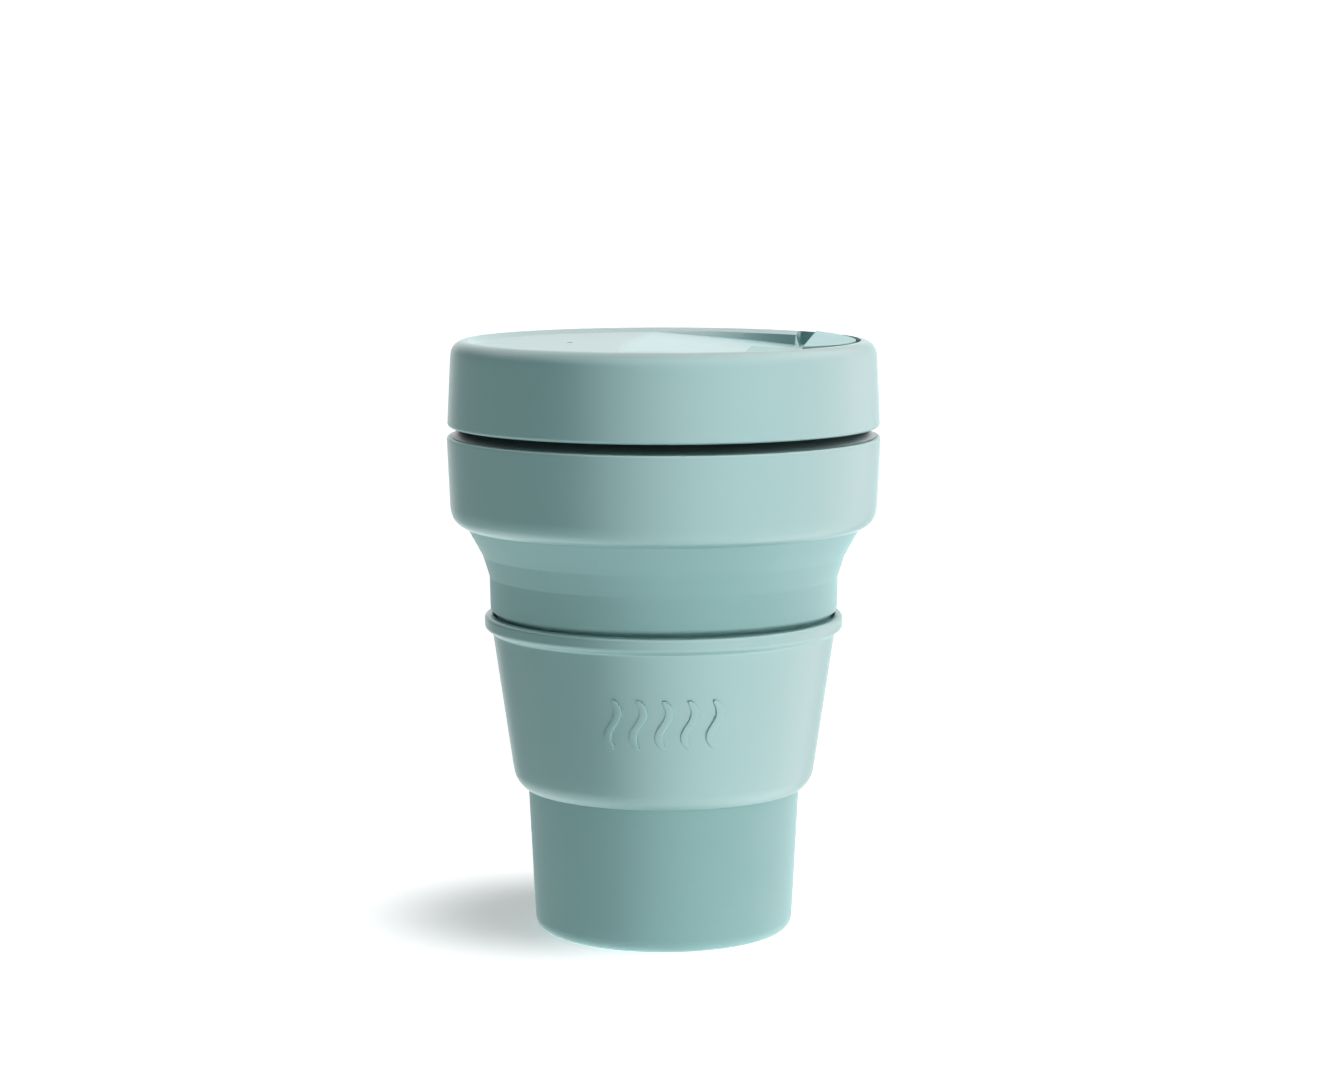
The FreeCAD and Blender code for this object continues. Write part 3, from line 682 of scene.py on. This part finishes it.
def makeFloor():
    bm = bmesh.new()
    bmesh.ops.create_grid(bm, x_segments=1, y_segments=1, size=studio["floorHalf"])
    mesh = bpy.data.meshes.new("floor")
    bm.to_mesh(mesh)
    bm.free()
    floor = bpy.data.objects.new("floor", mesh)
    bpy.context.scene.collection.objects.link(floor)
    floor.visible_glossy = False
    paper = bpy.data.materials.new("paleFloor")
    paper.use_nodes = True
    nodes, links = paper.node_tree.nodes, paper.node_tree.links
    nodes.clear()
    output, total = nodes.new("ShaderNodeOutputMaterial"), nodes.new("ShaderNodeAddShader")
    matte, glow = nodes.new("ShaderNodeBsdfDiffuse"), nodes.new("ShaderNodeEmission")
    matte.inputs["Color"].default_value = (*[studio["floorWhite"]] * 3, 1)
    # the camera sees the paper glow, with a painted shadow where the glow drops beside the cup, and
    # everything else sees a steady glow from it that stands in for its bounce
    place, far = nodes.new("ShaderNodeTexCoord"), nodes.new("ShaderNodeVectorMath")
    shade, ray = nodes.new("ShaderNodeMapRange"), nodes.new("ShaderNodeLightPath")
    seen = nodes.new("ShaderNodeMix")
    far.operation = "DISTANCE"
    far.inputs[1].default_value = studio["shadeCentre"]
    shade.interpolation_type = "SMOOTHSTEP"
    for label, value in (("From Min", studio["shadeInner"]), ("From Max", studio["shadeOuter"]),
                         ("To Min", studio["shadeGlow"]), ("To Max", studio["floorGlow"])):
        shade.inputs[label].default_value = value
    links.new(place.outputs["Object"], far.inputs[0])
    links.new(far.outputs["Value"], shade.inputs["Value"])
    links.new(shade.outputs["Result"], seen.inputs["B"])
    links.new(ray.outputs["Is Camera Ray"], seen.inputs["Factor"])
    seen.inputs["A"].default_value = studio["bounce"]
    links.new(seen.outputs["Result"], glow.inputs["Strength"])
    links.new(matte.outputs[0], total.inputs[0])
    links.new(glow.outputs[0], total.inputs[1])
    links.new(total.outputs[0], output.inputs["Surface"])
    mesh.materials.append(paper)


def towards(turn, rise):
    turn, rise = math.radians(turn), math.radians(rise)
    return Vector((math.sin(turn) * math.cos(rise), -math.cos(turn) * math.cos(rise), math.sin(rise)))


def glowStrength(nodes, links, direction, part):
    # how bright the room is in a direction: a little everywhere, and more on some sides
    total = None
    toSide = towards(studio["glowTurn"], studio["glowRise"])
    for side, aim, least, shape in (("side", toSide, -0.25, "LINEAR"),
                                    ("above", Vector((0, 0, 1)), 0.2, "SMOOTHSTEP"),
                                    ("behind", Vector((0, 1, 0)), 0.75, "SMOOTHSTEP"),
                                    ("below", Vector((0, 0, -1)), 0.2, "SMOOTHSTEP")):
        facing, ramp = nodes.new("ShaderNodeVectorMath"), nodes.new("ShaderNodeMapRange")
        facing.operation = "DOT_PRODUCT"
        facing.inputs[1].default_value = aim
        ramp.interpolation_type = shape
        ramp.inputs["From Min"].default_value = least
        ramp.inputs["From Max"].default_value = 1
        ramp.inputs["To Min"].default_value = 0 if total else part["low"]
        ramp.inputs["To Max"].default_value = part[side]
        links.new(direction, facing.inputs[0])
        links.new(facing.outputs["Value"], ramp.inputs["Value"])
        if total:
            both = nodes.new("ShaderNodeMath")
            both.operation = "ADD"
            links.new(total, both.inputs[0])
            links.new(ramp.outputs["Result"], both.inputs[1])
            total = both.outputs[0]
        else:
            total = ramp.outputs["Result"]
    return total


def makeWorld():
    world = bpy.data.worlds.new("studio")
    world.use_nodes = True
    bpy.context.scene.world = world
    nodes, links = world.node_tree.nodes, world.node_tree.links
    nodes.clear()
    place, ray = nodes.new("ShaderNodeTexCoord"), nodes.new("ShaderNodeLightPath")
    output, shownSheen, shownPaper = (nodes.new("ShaderNodeOutputWorld"), nodes.new("ShaderNodeMixShader"),
                                      nodes.new("ShaderNodeMixShader"))
    soft, sheen, paper = [nodes.new("ShaderNodeBackground") for _ in range(3)]
    for light in (soft, sheen, paper):
        light.inputs["Color"].default_value = (1, 1, 1, 1)
    for light, part in ((soft, studio["glow"]), (sheen, studio["sheen"])):
        links.new(glowStrength(nodes, links, place.outputs["Generated"], part), light.inputs["Strength"])
    links.new(ray.outputs["Is Glossy Ray"], shownSheen.inputs["Fac"])
    links.new(soft.outputs[0], shownSheen.inputs[1])
    links.new(sheen.outputs[0], shownSheen.inputs[2])
    links.new(ray.outputs["Is Camera Ray"], shownPaper.inputs["Fac"])
    links.new(shownSheen.outputs[0], shownPaper.inputs[1])
    links.new(paper.outputs[0], shownPaper.inputs[2])
    links.new(shownPaper.outputs[0], output.inputs["Surface"])


def makeKey():
    lamp = bpy.data.lights.new("key", "SUN")
    lamp.energy = studio["keyStrength"]
    lamp.angle = math.radians(studio["keySpread"])
    key = bpy.data.objects.new("key", lamp)
    key.rotation_euler = towards(studio["keyTurn"], studio["keyRise"]).to_track_quat("Z", "Y").to_euler()
    bpy.context.scene.collection.objects.link(key)


def makeCamera():
    lens = bpy.data.cameras.new("camera")
    lens.lens = cameraSizes["lens"]
    lens.sensor_width = cameraSizes["sensor"]
    camera = bpy.data.objects.new("camera", lens)
    camera.location = Vector(cameraSizes["place"]) * mm
    camera.rotation_euler = (math.radians(90 - cameraSizes["tilt"]), 0, 0)
    bpy.context.scene.collection.objects.link(camera)
    bpy.context.scene.camera = camera


makeFloor()
makeWorld()
makeKey()
makeCamera()
bpy.context.scene.view_settings.view_transform = "Standard"
print("stage made")
